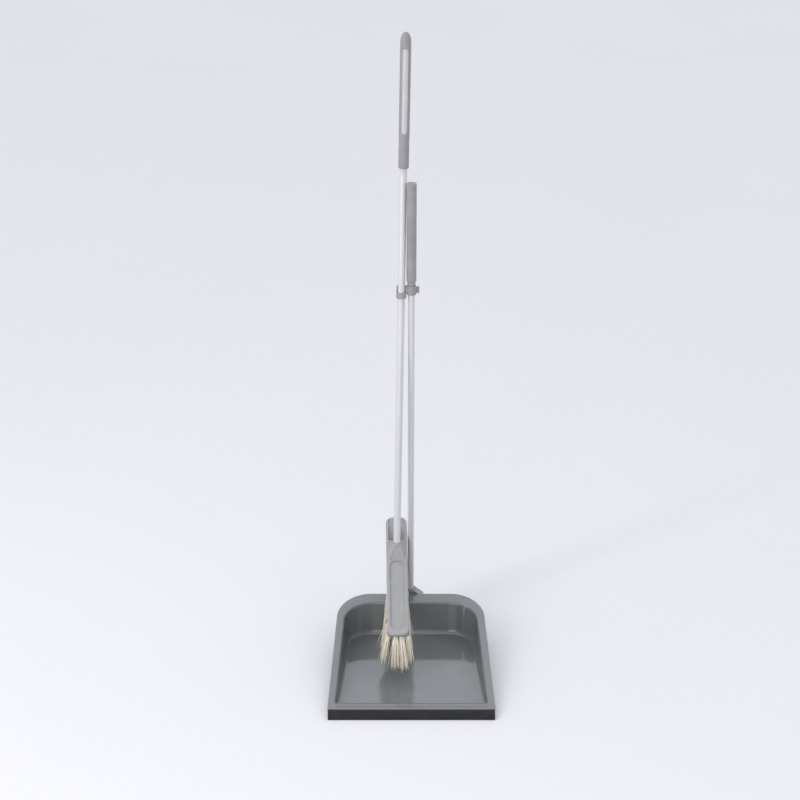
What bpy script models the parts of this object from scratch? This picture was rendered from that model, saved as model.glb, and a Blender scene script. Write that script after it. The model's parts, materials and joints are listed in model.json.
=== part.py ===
"""Long-handled dustpan with its brush clipped to the handle.

Metres, +Z up. The dustpan stands on the floor at Z = 0, its open front faces -Y and its pole
stands on the plane X = 0. Places are given as distances behind the front edge of the rubber
lip, and point() turns them into world coordinates.
"""

from math import acos, atan, cos, degrees, pi, radians, sin, tan

import bmesh
import bpy
from mathutils import Matrix, Vector

GAP = 0.0003  # clearance between pieces that touch
OVERLAP = 0.002  # how far a joined shape reaches into its neighbour
ORIGIN_BEHIND_LIP = 0.17234  # the origin is the middle of the footprint

# Dustpan tray
WALL = 0.0022
RIM_FRONT = 0.014
RIM_BACK = 0.292
RIM_FRONT_HEIGHT = 0.012
RIM_BACK_HEIGHT = 0.068
HALF_WIDTH_FRONT = 0.1405
HALF_WIDTH_BACK = 0.1305
CORNER_START = 0.232  # where the rear corners begin
CORNER_RADIUS = 0.060
FRONT_CORNER_RADIUS = 0.0035
RIM_SKIRT = 0.0050
EDGE_ROUND = 0.0012
FLANGE_SIDE = 0.010
FLANGE_BACK = 0.020
FLANGE_FRONT = 0.0135
BAY_CORNER_START = 0.225
BAY_CORNER_X = 0.066
BAY_FRONT_RADIUS = 0.0052
TOP_FILLET = 0.004
FLOOR_FILLET = 0.008
WALL_DRAFT = 0.06
FLOOR_TOP = WALL

# Rubber lip
LIP_HALF_WIDTH = 0.1395
LIP_HEIGHT = 0.0117
LIP_HEEL = 0.0055  # width of the bead behind the rim's front skirt

# Dustpan pole, its socket and grip
PAN_POLE_BACK = 0.303
PAN_POLE_RADIUS = 0.0055
TUBE_WALL = 0.0010
SOCKET_RADIUS = 0.0105
SOCKET_TOP = 0.0735
SOCKET_FLOOR = 0.008
SHOULDER_HALF_WIDTH = 0.023
SHOULDER_DROP = 0.012
WEB_THICKNESS = 0.006
PAN_GRIP_BOTTOM = 0.659
PAN_GRIP_NECK = 0.0065
PAN_GRIP_TOP = 0.8364
PAN_GRIP_RADIUS = 0.0082
PAN_POLE_TOP = 0.826
SCREW_HEIGHT = 0.036
SCREW_RADIUS = 0.0019
SCREW_HEAD_RADIUS = 0.0038

# Brush pole: a line through the clip's ring, leaning back and to the right as it rises
CLIP_RING = (-0.0168, 0.300, 0.647)
LEAN_RIGHT = 0.0167  # per metre of height
LEAN_BACK = 0.0607
BRUSH_POLE_RADIUS = 0.0060
BRUSH_GRIP_LOW = 0.2122  # from the ring, along the pole
BRUSH_GRIP_LENGTH = 0.2205
BRUSH_GRIP_HALF_WIDTH = 0.00885
BRUSH_GRIP_HALF_DEPTH = 0.0112
GRIP_SKIN = 0.0014
WINDOW_LOW = 0.0575  # from the grip's lower end
WINDOW_LENGTH = 0.1380
WINDOW_WIDTH = 0.0104
GRIP_CLOSED_END = 0.024  # solid grip above the end of the pole

# Clip
RING_HEIGHT = 0.020
RING_WALL = 0.0022
HOOK_LOW = 0.642
HOOK_HEIGHT = 0.016
HOOK_RADIUS = 0.0078
HOOK_MOUTH = 0.0114
HOOK_LIP = 0.0068

# Brush head: its own frame has X across, Y from the toe to the far end and Z out of the top
HEAD_TOE = (0.1085, 0.0854)  # distance behind the lip and height of the toe's lower edge
HEAD_TILT = radians(22)
HEAD_SKEW = 0.0156  # sideways run per unit of length
HEAD_LENGTH = 0.256
HEAD_WIDTH = 0.037
HEAD_THICKNESS = 0.020
HEAD_CORNER = 0.012
HEAD_EDGE = 0.003
TOE_UNDERCUT = (0.0092, 0.0155)  # how far back it runs under the toe, and how high up it starts
PANEL_START = 0.012
PANEL_END = 0.157
PANEL_WIDTH = 0.0255
PANEL_DEPTH = 0.003
POCKET_START = 0.203
POCKET_END = 0.249
POCKET_WIDTH = 0.0105
POCKET_OFFSET = 0.0088
POCKET_DEPTH = 0.0014  # at the far end
POCKET_SLOPE = radians(9.5)  # the pocket's floor falls towards the socket
HEAD_SOCKET_RISE = 0.0128
HEAD_SOCKET_DEPTH = 0.0085
HEAD_SOCKET_TOP_RADIUS = 0.0088
HEAD_SOCKET_BASE_RADIUS = 0.0135
RAMP_WIDTH = 0.0286
RAMP_GAP = 0.0015  # between the ramp's foot and the panel
RAMP_SINK = 0.0004  # how far the ramp's corners lie under the socket's rim and the head's top
THREAD_LENGTH = 0.009  # of the plug, below the end of the brush pole

# Bristles
BRISTLE_ROWS = (-0.0129, -0.0043, 0.0043, 0.0129)
BRISTLE_LENGTH = 0.070
BRISTLE_ROOT = 0.0076
BRISTLE_START = 0.010
BRISTLE_END = 0.224
TUFTS_PER_ROW = 12
TUFT_THICKNESS = 0.0050
TIP_THICKNESS = 0.0066
TIP_NOTCH = 0.016
TOE_FAN = radians(20)
TOE_FAN_REACH = 0.045  # how far from the toe the fan dies out
SIDE_FLARE = (0.0175, 0.0050)  # an outer row's sideways run, and an inner one's
FLARE_END = 0.150  # how far from the toe the sideways flare dies out
OUTER_ROW = 0.008  # rows further than this from the middle flare as outer ones


def point(x, behind_lip, height):
    return Vector((x, behind_lip - ORIGIN_BEHIND_LIP, height))


def clear_scene():
    for obj in list(bpy.data.objects):
        bpy.data.objects.remove(obj, do_unlink=True)


def new_collection(name, helper=False):
    collection = bpy.data.collections.new(name)
    bpy.context.scene.collection.children.link(collection)
    collection.hide_render = helper
    return collection


def material(name, color, roughness, metallic=0.0):
    made = bpy.data.materials.new(name)
    made.use_nodes = True
    shader = made.node_tree.nodes["Principled BSDF"]
    shader.inputs["Base Color"].default_value = (*color, 1.0)
    shader.inputs["Roughness"].default_value = roughness
    shader.inputs["Metallic"].default_value = metallic
    return made


clear_scene()
PARTS = new_collection("dustpan_and_brush_set")
CUTTERS = new_collection("cutters_and_joined_shapes", helper=True)

TRAY_GREY = material("tray_grey", (0.20, 0.21, 0.22), 0.22)
LIP_BLACK = material("lip_rubber", (0.02, 0.02, 0.02), 0.7)
POLE_GREY = material("pole_light_grey", (0.58, 0.58, 0.60), 0.38)
GRIP_GREY = material("grip_grey", (0.31, 0.31, 0.33), 0.5)
GRIP_LIGHT = material("grip_core_light_grey", (0.52, 0.52, 0.54), 0.2)
HEAD_GREY = material("head_grey", (0.38, 0.38, 0.40), 0.4)
BRISTLE_IVORY = material("bristle_ivory", (0.78, 0.72, 0.60), 0.6)
SCREW_STEEL = material("screw_steel", (0.6, 0.6, 0.6), 0.3, 1.0)


def link(obj, paint=None):
    """Puts a piece in the set, or a helper with no paint among the cutters."""
    if paint:
        obj.data.materials.append(paint)
        PARTS.objects.link(obj)
    else:
        CUTTERS.objects.link(obj)
        obj.hide_render = True
        obj.display_type = "WIRE"
    return obj


def mesh_object(name, bm, paint=None, frame=None, smooth=30):
    mesh = bpy.data.meshes.new(name)
    bm.to_mesh(mesh)
    bm.free()
    mesh.shade_smooth()
    mesh.set_sharp_from_angle(angle=radians(smooth))
    obj = bpy.data.objects.new(name, mesh)
    obj.matrix_world = frame or Matrix()
    return link(obj, paint)


def turned(name, profile, segments, paint=None, frame=None, closed=False):
    """A profile of (radius, height) points, outer side top to bottom, turned about Z."""
    bm = bmesh.new()
    corners = [bm.verts.new((radius, 0, height)) for radius, height in profile]
    pairs = list(zip(corners, corners[1:]))
    if closed:
        pairs.append((corners[-1], corners[0]))
    for pair in pairs:
        bm.edges.new(pair)
    obj = mesh_object(name, bm, paint, frame)
    screw = obj.modifiers.new("turn", "SCREW")
    screw.steps = segments
    screw.render_steps = segments
    screw.use_merge_vertices = True
    screw.merge_threshold = 0.00001
    screw.use_smooth_shade = True
    return obj


def tube(name, outer, inner, low, high, segments, paint=None, frame=None):
    profile = [(outer, high), (outer, low), (inner, low), (inner, high)]
    return turned(name, profile, segments, paint, frame, closed=True)


def box(name, low, high, paint=None, frame=None):
    bm = bmesh.new()
    bmesh.ops.create_cube(bm, size=1.0)
    low = Vector(low)
    high = Vector(high)
    bmesh.ops.scale(bm, vec=high - low, verts=bm.verts)
    bmesh.ops.translate(bm, vec=(low + high) / 2, verts=bm.verts)
    return mesh_object(name, bm, paint, frame)


def cylinder(name, radius, low, high, segments, paint=None, frame=None, top_radius=None):
    """A cylinder or cone about the frame's Z, from low to high."""
    bm = bmesh.new()
    bmesh.ops.create_cone(
        bm,
        cap_ends=True,
        segments=segments,
        radius1=radius,
        radius2=radius if top_radius is None else top_radius,
        depth=high - low,
        matrix=Matrix.Translation((0, 0, (low + high) / 2)),
    )
    return mesh_object(name, bm, paint, frame)


def plate(name, outline, low, high, paint=None, frame=None):
    """A flat outline in the frame's XY plane, anticlockwise, raised from low to high."""
    bm = bmesh.new()
    base = bm.faces.new([bm.verts.new((x, y, low)) for x, y in outline])
    base.normal_update()
    raised = bmesh.ops.extrude_face_region(bm, geom=[base])["geom"]
    top = [v for v in raised if isinstance(v, bmesh.types.BMVert)]
    bmesh.ops.translate(bm, vec=(0, 0, high - low), verts=top)
    bmesh.ops.recalc_face_normals(bm, faces=bm.faces)
    return mesh_object(name, bm, paint, frame)


def rounded_outline(width, length, radius, steps):
    """A rectangle with round corners, centred on X, from Y = 0 to Y = length."""
    corners = (
        (width / 2 - radius, radius, -90),
        (width / 2 - radius, length - radius, 0),
        (radius - width / 2, length - radius, 90),
        (radius - width / 2, radius, 180),
    )
    outline = []
    for x, y, start in corners:
        for step in range(steps + 1):
            angle = radians(start + 90 * step / steps)
            outline.append((x + radius * cos(angle), y + radius * sin(angle)))
    return outline


def boolean(obj, operation, *others):
    for other in others:
        modifier = obj.modifiers.new(f"{operation.lower()}_{other.name}", "BOOLEAN")
        modifier.operation = operation
        modifier.object = other
        modifier.solver = "EXACT"
    return obj


def bevel(obj, width, segments, angle=40):
    modifier = obj.modifiers.new("bevel", "BEVEL")
    modifier.width = width
    modifier.segments = segments
    modifier.limit_method = "ANGLE"
    modifier.angle_limit = radians(angle)
    return obj


# --- Dustpan tray -------------------------------------------------------------------------


def rim_height(behind_lip):
    slope = (RIM_BACK_HEIGHT - RIM_FRONT_HEIGHT) / (RIM_BACK - RIM_FRONT)
    return RIM_FRONT_HEIGHT + slope * (behind_lip - RIM_FRONT)


def arc(center, radii, start, end, steps):
    """Points of an elliptical arc with the outward normal at each, angles in degrees."""
    found = []
    for step in range(steps + 1):
        angle = radians(start + (end - start) * step / steps)
        place = Vector((center[0] + radii[0] * cos(angle), center[1] + radii[1] * sin(angle)))
        normal = Vector((cos(angle) / radii[0], sin(angle) / radii[1])).normalized()
        found.append((place, normal))
    return found


def tray_outline(front, half_front, half_back, back, corner, corner_start, front_radius):
    """One closed outline of the tray, anticlockwise from the front right corner, as places
    and outward normals. Every outline has the same number of points."""
    taper = atan((half_front - half_back) / (corner_start - front))
    corner_radii = (half_back - corner, back - corner_start)
    front_center = (half_front - front_radius, front + front_radius)
    right = arc(front_center, (front_radius, front_radius), -90, 0, 4)
    rear = arc((corner, corner_start), corner_radii, 0, 90, 10)
    tilt = Matrix.Rotation(taper, 2)
    right[-1] = (right[-1][0], tilt @ right[-1][1])
    half = right + rear
    mirrored = [(Vector((-p.x, p.y)), Vector((-n.x, n.y))) for p, n in reversed(half)]
    return half + mirrored


def rim_ring(outline, inset, drop):
    """A ring that follows the rim's slope, inside the outline and below its top."""
    spots = [place - normal * inset for place, normal in outline]
    return [(spot.x, spot.y, rim_height(spot.y) - drop) for spot in spots]


def bay_profile(height):
    """The bay's wall from the flange down to the floor, as (inset, rise) points above the
    floor: first its upper surface, then its underside from the floor back up."""
    top = min(TOP_FILLET, 0.2 * height)
    low = min(FLOOR_FILLET, 0.25 * height)
    foot = top + WALL_DRAFT * (height - top - low) + low
    turns = [radians(angle) for angle in (0, 30, 60, 90)]
    upper = [(top * sin(turn), height - top + top * cos(turn)) for turn in turns]
    upper += [(foot - low * cos(turn), low - low * sin(turn)) for turn in turns]
    outside = low + WALL
    under = [(foot - outside * cos(turn), low - outside * sin(turn)) for turn in reversed(turns)]
    under.append((top - WALL, height - WALL))
    return upper + under


def tray_rings():
    """Rings of the tray, from the skirt's lower edge over the rim and down to the floor, then
    back along the underside; and how many of them lie on the upper surface."""
    outer = tray_outline(
        RIM_FRONT, HALF_WIDTH_FRONT, HALF_WIDTH_BACK, RIM_BACK,
        HALF_WIDTH_BACK - CORNER_RADIUS, CORNER_START, FRONT_CORNER_RADIUS,
    )
    inner = tray_outline(
        RIM_FRONT + FLANGE_FRONT, HALF_WIDTH_FRONT - FLANGE_SIDE, HALF_WIDTH_BACK - FLANGE_SIDE,
        RIM_BACK - FLANGE_BACK, BAY_CORNER_X, BAY_CORNER_START, BAY_FRONT_RADIUS,
    )
    rows = []
    for place, normal in inner:
        profile = bay_profile(rim_height(place.y) - FLOOR_TOP)
        spots = [(place - normal * inset, FLOOR_TOP + rise) for inset, rise in profile]
        rows.append([(spot.x, spot.y, rise) for spot, rise in spots])
    bay = [list(ring) for ring in zip(*rows)]
    edge = [rim_ring(outer, *step) for step in ((0, RIM_SKIRT), (0, EDGE_ROUND), (EDGE_ROUND, 0))]
    inside = [rim_ring(outer, WALL, WALL), rim_ring(outer, WALL, RIM_SKIRT)]
    floor_ring = len(edge) + 8
    return edge + bay + inside, floor_ring


def make_tray():
    """The tray is one wall thick all over: its two sides are joined round the skirt's foot."""
    bm = bmesh.new()
    places, floor_ring = tray_rings()
    rings = [[bm.verts.new(point(*spot)) for spot in ring] for ring in places]
    rings.append(rings[0])
    for number, (first, second) in enumerate(zip(rings, rings[1:]), 1):
        if number == floor_ring:
            bm.faces.new(first)
            bm.faces.new(second[::-1])
            continue
        for k in range(len(first)):
            after = (k + 1) % len(first)
            bm.faces.new((first[k], first[after], second[after], second[k]))
    return mesh_object("dustpan_tray", bm, TRAY_GREY)


def make_tray_socket(tray):
    """The upright socket behind the back wall, with its shoulders and web, joined to the tray."""
    axis = Matrix.Translation(point(0, PAN_POLE_BACK, 0))
    socket = cylinder("socket_body", SOCKET_RADIUS, 0, SOCKET_TOP, 32, frame=axis)
    upright = Matrix.Translation(point(0, RIM_BACK - WALL / 2, 0)) @ Matrix.Rotation(pi / 2, 4, "X")
    foot = SOCKET_TOP - 2 * SHOULDER_DROP
    outline = [
        (-SHOULDER_HALF_WIDTH, foot),
        (SHOULDER_HALF_WIDTH, foot),
        (SHOULDER_HALF_WIDTH, SOCKET_TOP - SHOULDER_DROP),
        (SOCKET_RADIUS * 0.7, SOCKET_TOP - GAP),
        (-SOCKET_RADIUS * 0.7, SOCKET_TOP - GAP),
        (-SHOULDER_HALF_WIDTH, SOCKET_TOP - SHOULDER_DROP),
    ]
    depth = PAN_POLE_BACK - RIM_BACK + SOCKET_RADIUS * 0.7
    shoulders = plate("socket_shoulders", outline, -depth, 0, frame=upright)
    wall_back = RIM_BACK - FLANGE_BACK - TOP_FILLET - WALL_DRAFT * RIM_BACK_HEIGHT
    web = box(
        "socket_web",
        point(-WEB_THICKNESS / 2, wall_back + WALL * 0.6, FLOOR_TOP + FLOOR_FILLET),
        point(WEB_THICKNESS / 2, PAN_POLE_BACK - PAN_POLE_RADIUS - OVERLAP, RIM_BACK_HEIGHT - WALL - OVERLAP),
    )
    bore = cylinder("socket_bore", PAN_POLE_RADIUS + GAP, SOCKET_FLOOR, SOCKET_TOP + 0.01, 32, frame=axis)
    boolean(tray, "UNION", socket, shoulders, web)
    boolean(tray, "DIFFERENCE", bore, screw_hole())


def screw_frame():
    """The socket screw's axis: Z points backward, out of the socket."""
    return Matrix.Translation(point(0, PAN_POLE_BACK, SCREW_HEIGHT)) @ Matrix.Rotation(-pi / 2, 4, "X")


def screw_hole():
    existing = bpy.data.objects.get("screw_hole")
    if existing:
        return existing
    return cylinder("screw_hole", SCREW_RADIUS + GAP, 0.001, 0.02, 16, frame=screw_frame())


def make_screw():
    seat = SOCKET_RADIUS + GAP
    tip = PAN_POLE_RADIUS - TUBE_WALL - 0.002
    profile = [
        (0, seat + 0.0024),
        (0.0020, seat + 0.0021),
        (0.0033, seat + 0.0013),
        (SCREW_HEAD_RADIUS, seat),
        (SCREW_RADIUS, seat),
        (SCREW_RADIUS, tip + 0.001),
        (0, tip),
    ]
    return turned("pan_pole_screw", profile, 16, SCREW_STEEL, screw_frame())


def make_lip():
    """The rubber lip: a rounded nose in front, and a groove that grips the rim's front skirt."""
    skirt_foot = RIM_FRONT_HEIGHT - RIM_SKIRT - GAP
    skirt_back = RIM_FRONT + WALL + GAP
    heel = skirt_back + LIP_HEEL
    bead_top = RIM_FRONT_HEIGHT - WALL - 2 * GAP
    outline = [
        (0.0, 0.0),
        (heel, 0.0),
        (heel, skirt_foot),
        (RIM_FRONT - GAP, skirt_foot),
        (RIM_FRONT - GAP, LIP_HEIGHT),
        (0.0088, 0.0105),
        (0.0052, 0.0088),
        (0.0024, 0.0064),
        (0.0006, 0.0034),
    ]
    bead = [
        (skirt_back, skirt_foot - OVERLAP),
        (heel, skirt_foot - OVERLAP),
        (heel, bead_top),
        (skirt_back, bead_top),
    ]
    # In this frame X runs backward, Y up and Z to the right.
    side = Matrix(((0, 0, 1, 0), (1, 0, 0, -ORIGIN_BEHIND_LIP), (0, 1, 0, 0), (0, 0, 0, 1)))
    lip = plate("rubber_lip", outline, -LIP_HALF_WIDTH, LIP_HALF_WIDTH, LIP_BLACK, side)
    bead_half = HALF_WIDTH_FRONT - FRONT_CORNER_RADIUS - GAP
    return boolean(lip, "UNION", plate("lip_bead", bead, -bead_half, bead_half, frame=side))


# --- Dustpan pole and grip -----------------------------------------------------------------


def pan_pole_frame():
    return Matrix.Translation(point(0, PAN_POLE_BACK, 0))


def make_pan_pole():
    pole = tube(
        "pan_pole", PAN_POLE_RADIUS, PAN_POLE_RADIUS - TUBE_WALL,
        SOCKET_FLOOR + GAP, PAN_POLE_TOP, 24, POLE_GREY, pan_pole_frame(),
    )
    return boolean(pole, "DIFFERENCE", screw_hole())


def make_pan_grip():
    inside = PAN_POLE_RADIUS + GAP
    neck_top = PAN_GRIP_BOTTOM + PAN_GRIP_NECK
    groove = neck_top + 0.043
    profile = [
        (0, PAN_GRIP_TOP),
        (PAN_GRIP_RADIUS - 0.0018, PAN_GRIP_TOP),
        (PAN_GRIP_RADIUS - 0.0006, PAN_GRIP_TOP - 0.0006),
        (PAN_GRIP_RADIUS, PAN_GRIP_TOP - 0.0022),
        (PAN_GRIP_RADIUS, groove + 0.0008),
        (PAN_GRIP_RADIUS - 0.0004, groove),
        (PAN_GRIP_RADIUS, groove - 0.0008),
        (PAN_GRIP_RADIUS, neck_top + 0.0008),
        (PAN_GRIP_RADIUS - 0.0008, neck_top),
        (PAN_GRIP_RADIUS - 0.0014, neck_top),
        (PAN_GRIP_RADIUS - 0.0014, PAN_GRIP_BOTTOM),
        (inside, PAN_GRIP_BOTTOM),
        (inside, PAN_POLE_TOP + GAP),
        (0, PAN_POLE_TOP + GAP),
    ]
    return turned("pan_grip", profile, 28, GRIP_GREY, pan_pole_frame())


# --- Brush pole and grip -------------------------------------------------------------------


def brush_pole_frame():
    """Z runs up the brush pole, X stays level with the clip's ring at the origin."""
    up = Vector((LEAN_RIGHT, LEAN_BACK, 1)).normalized()
    side = Vector((0, 1, 0)).cross(up).normalized()
    frame = Matrix((side, up.cross(side), up)).transposed().to_4x4()
    return Matrix.Translation(point(*CLIP_RING)) @ frame


def head_frame():
    """The head hangs on the pole: its X is set so that the pole's axis meets its middle."""
    along = Vector((-HEAD_SKEW, cos(HEAD_TILT), sin(HEAD_TILT))).normalized()
    normal = Vector((0, -sin(HEAD_TILT), cos(HEAD_TILT)))
    across = along.cross(normal).normalized()
    normal = across.cross(along)
    frame = Matrix((across, along, normal)).transposed().to_4x4()
    toe = point(0, *HEAD_TOE)
    pole = brush_pole_frame()
    up = pole.col[2].to_3d()
    ring = pole.translation
    reach = (toe + normal * HEAD_THICKNESS - ring).dot(normal) / up.dot(normal)
    meets = ring + up * reach
    shift = (meets - toe).dot(across)
    return Matrix.Translation(toe + across * shift) @ frame, reach


def make_brush_pole(entry):
    """entry is where the pole's axis meets the head's top, measured along the pole."""
    low = entry - HEAD_SOCKET_DEPTH + THREAD_LENGTH
    top = BRUSH_GRIP_LOW + BRUSH_GRIP_LENGTH - GRIP_CLOSED_END
    inner = BRUSH_POLE_RADIUS - TUBE_WALL
    return tube("brush_pole", BRUSH_POLE_RADIUS, inner, low, top, 24, POLE_GREY, brush_pole_frame())


def make_thread_plug(entry):
    """The plug pressed into the pole's lower end, whose thread screws into the head."""
    inside = BRUSH_POLE_RADIUS - TUBE_WALL - GAP
    thread = BRUSH_POLE_RADIUS - 0.0006
    foot = entry - HEAD_SOCKET_DEPTH + GAP
    shoulder = entry - HEAD_SOCKET_DEPTH + THREAD_LENGTH - GAP
    profile = [
        (0, shoulder + 0.026),
        (inside - 0.001, shoulder + 0.026),
        (inside, shoulder + 0.024),
        (inside, shoulder),
    ]
    turns = 3
    for turn in range(turns):
        crest = shoulder - (shoulder - foot) * (turn + 0.3) / turns
        profile += [(thread, crest), (thread - 0.0007, crest - 0.0014)]
    profile += [(thread - 0.0012, foot), (0, foot)]
    return turned("brush_pole_thread_plug", profile, 24, HEAD_GREY, brush_pole_frame())


def grip_profile(shrink):
    """The grip's side outline as (radius, height), a waist near its foot and a domed top."""
    radius = BRUSH_GRIP_HALF_WIDTH
    top = BRUSH_GRIP_LENGTH
    outline = [
        (0, top),
        (radius * 0.45, top - 0.0010),
        (radius * 0.78, top - 0.0042),
        (radius * 0.93, top - 0.0090),
        (radius, top - 0.0180),
        (radius, 0.0530),
        (radius - 0.0005, 0.0460),
        (radius - 0.0002, 0.0390),
        (radius - 0.0002, 0.0010),
        (radius - 0.0012, 0),
    ]
    return [(max(r - shrink, 0), z if z < 0.1 else z - shrink) for r, z in outline]


def grip_solid(name, shrink, low, paint=None):
    """A solid of the grip's form, oval in plan, its skin taken off by shrink."""
    outline = [(r, z + BRUSH_GRIP_LOW) for r, z in grip_profile(shrink) if z >= low]
    radius = outline[-1][0]
    outline += [(radius, BRUSH_GRIP_LOW + low), (0, BRUSH_GRIP_LOW + low)]
    deep = (BRUSH_GRIP_HALF_DEPTH - shrink) / (BRUSH_GRIP_HALF_WIDTH - shrink)
    oval = brush_pole_frame() @ Matrix.Diagonal((1, deep, 1, 1))
    return turned(name, outline, 32, paint, oval)


def window_cutter(name, width, length, depth_low, depth_high):
    """A slot with round ends, standing up the front of the grip."""
    outline = rounded_outline(width, length, width / 2, 6)
    middle = BRUSH_GRIP_LOW + WINDOW_LOW + (WINDOW_LENGTH - length) / 2
    # In this frame X runs across, Y up the pole and Z forward.
    face = Matrix(((1, 0, 0, 0), (0, 0, -1, 0), (0, 1, 0, middle), (0, 0, 0, 1)))
    return plate(name, outline, depth_low, depth_high, frame=brush_pole_frame() @ face)


def make_brush_grip():
    """A light core on the pole, and a soft skin round it with a window at the front."""
    bore = cylinder(
        "grip_bore", BRUSH_POLE_RADIUS + GAP, BRUSH_GRIP_LOW - 0.01,
        BRUSH_GRIP_LOW + BRUSH_GRIP_LENGTH - GRIP_CLOSED_END + 0.0005, 24,
        frame=brush_pole_frame(),
    )
    core = grip_solid("brush_grip_core", GRIP_SKIN + GAP, 0.0012, GRIP_LIGHT)
    inlay = grip_solid("inlay_form", GAP, 0.0)
    slot = window_cutter("inlay_slot", WINDOW_WIDTH - 2 * GAP, WINDOW_LENGTH - 2 * GAP, 0.0072, 0.02)
    boolean(inlay, "INTERSECT", slot)
    boolean(core, "UNION", inlay)
    boolean(core, "DIFFERENCE", bore)
    skin = grip_solid("brush_grip_skin", 0.0, 0.0, GRIP_GREY)
    hollow = grip_solid("skin_hollow", GRIP_SKIN, 0.0012)
    opening = window_cutter("skin_window", WINDOW_WIDTH, WINDOW_LENGTH, 0.0068, 0.02)
    boolean(skin, "DIFFERENCE", hollow, opening, bore)
    return [core, skin]


# --- Clip ----------------------------------------------------------------------------------


def hook_outline():
    """The hook's plan round the dustpan pole: open behind, its right end flared."""
    inner = PAN_POLE_RADIUS + GAP
    outer = HOOK_RADIUS
    half_mouth = HOOK_MOUTH / 2
    start = degrees(acos(half_mouth / inner))
    end = -180 - start
    steps = 14
    angles = [start + (end - start) * step / steps for step in range(steps + 1)]
    inside = [(inner * cos(radians(a)), inner * sin(radians(a))) for a in angles]
    outside = [(outer * cos(radians(a)), outer * sin(radians(a))) for a in reversed(angles)]
    return inside, outside


def make_clip():
    """One moulding: a ring pressed on the brush pole, a bridge, and a hook that snaps on the
    dustpan pole from the front."""
    ring_bore = BRUSH_POLE_RADIUS + GAP
    ring_out = ring_bore + RING_WALL
    pole = brush_pole_frame()
    half = RING_HEIGHT / 2
    clip = tube("pole_clip", ring_out, ring_bore, -half, half, 28, TRAY_GREY, pole)
    front_cut = box("ring_front_cut", (-0.02, -0.02, 0), (0.02, -0.001, half + 0.01), frame=pole)
    boolean(clip, "DIFFERENCE", front_cut)
    hook_frame = Matrix.Translation(point(0, PAN_POLE_BACK, HOOK_LOW))
    inside, outside = hook_outline()
    hook = plate("hook", outside + inside, 0, HOOK_HEIGHT, frame=hook_frame)
    tab_start = Vector(inside[0]).lerp(Vector(outside[-1]), 0.5)
    tab_angle = atan(0.35)
    tab_place = Matrix.Translation((tab_start.x, tab_start.y, 0))
    tab_frame = hook_frame @ tab_place @ Matrix.Rotation(tab_angle, 4, "Z")
    tab = box("hook_tab", (-0.0002, -0.0009, 0.001), (HOOK_LIP, 0.0007, HOOK_HEIGHT - 0.003), frame=tab_frame)
    ring_place = point(*CLIP_RING)
    bridge = box(
        "bridge",
        point(ring_place.x + ring_bore + 0.0006, PAN_POLE_BACK - 0.0052, HOOK_LOW + 0.006),
        point(-PAN_POLE_RADIUS - GAP - 0.0006, PAN_POLE_BACK + 0.0010, HOOK_LOW + HOOK_HEIGHT),
    )
    boolean(clip, "UNION", hook, tab, bridge)
    pole_hole = cylinder("clip_pole_hole", ring_bore, -0.03, 0.03, 28, frame=pole)
    boolean(clip, "DIFFERENCE", pole_hole)
    return clip


# --- Brush head and bristles ---------------------------------------------------------------


def slab(name, width, start, end, low, high, radius, frame):
    outline = rounded_outline(width, end - start, radius, 5)
    return plate(name, [(x, y + start) for x, y in outline], low, high, frame=frame)


def toe_undercut(frame):
    """A wedge that thins the toe from below."""
    back, high = TOE_UNDERCUT
    beyond = 0.005
    slope = high / back
    outline = [(-beyond, -beyond), (back + beyond / slope, -beyond), (-beyond, high + beyond * slope)]
    sideways = frame @ Matrix(((0, 0, 1, 0), (1, 0, 0, 0), (0, 1, 0, 0), (0, 0, 0, 1)))
    return plate("toe_undercut", outline, -HEAD_WIDTH, HEAD_WIDTH, frame=sideways)


def socket_ramp(frame, entry):
    """The hull of the front half of the socket's rim and a wide foot beside the panel."""
    bm = bmesh.new()
    height = entry + HEAD_SOCKET_RISE - RAMP_SINK
    rim = frame.inverted() @ brush_pole_frame() @ Matrix.Translation((0, 0, height))
    for turn in range(180, 361, 15):
        angle = radians(turn)
        spot = Vector((cos(angle), sin(angle), 0)) * HEAD_SOCKET_TOP_RADIUS
        bm.verts.new(rim @ spot)
    middle = rim.translation.y
    foot = PANEL_END + RAMP_GAP
    for side in (-1, 1):
        for low in (RAMP_SINK, OVERLAP):
            bm.verts.new((side * RAMP_WIDTH / 2, foot, HEAD_THICKNESS - low))
            bm.verts.new((side * RAMP_WIDTH / 2, middle, HEAD_THICKNESS - low))
    bmesh.ops.convex_hull(bm, input=bm.verts)
    bmesh.ops.recalc_face_normals(bm, faces=bm.faces)
    return mesh_object("socket_ramp", bm, frame=frame)


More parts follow.
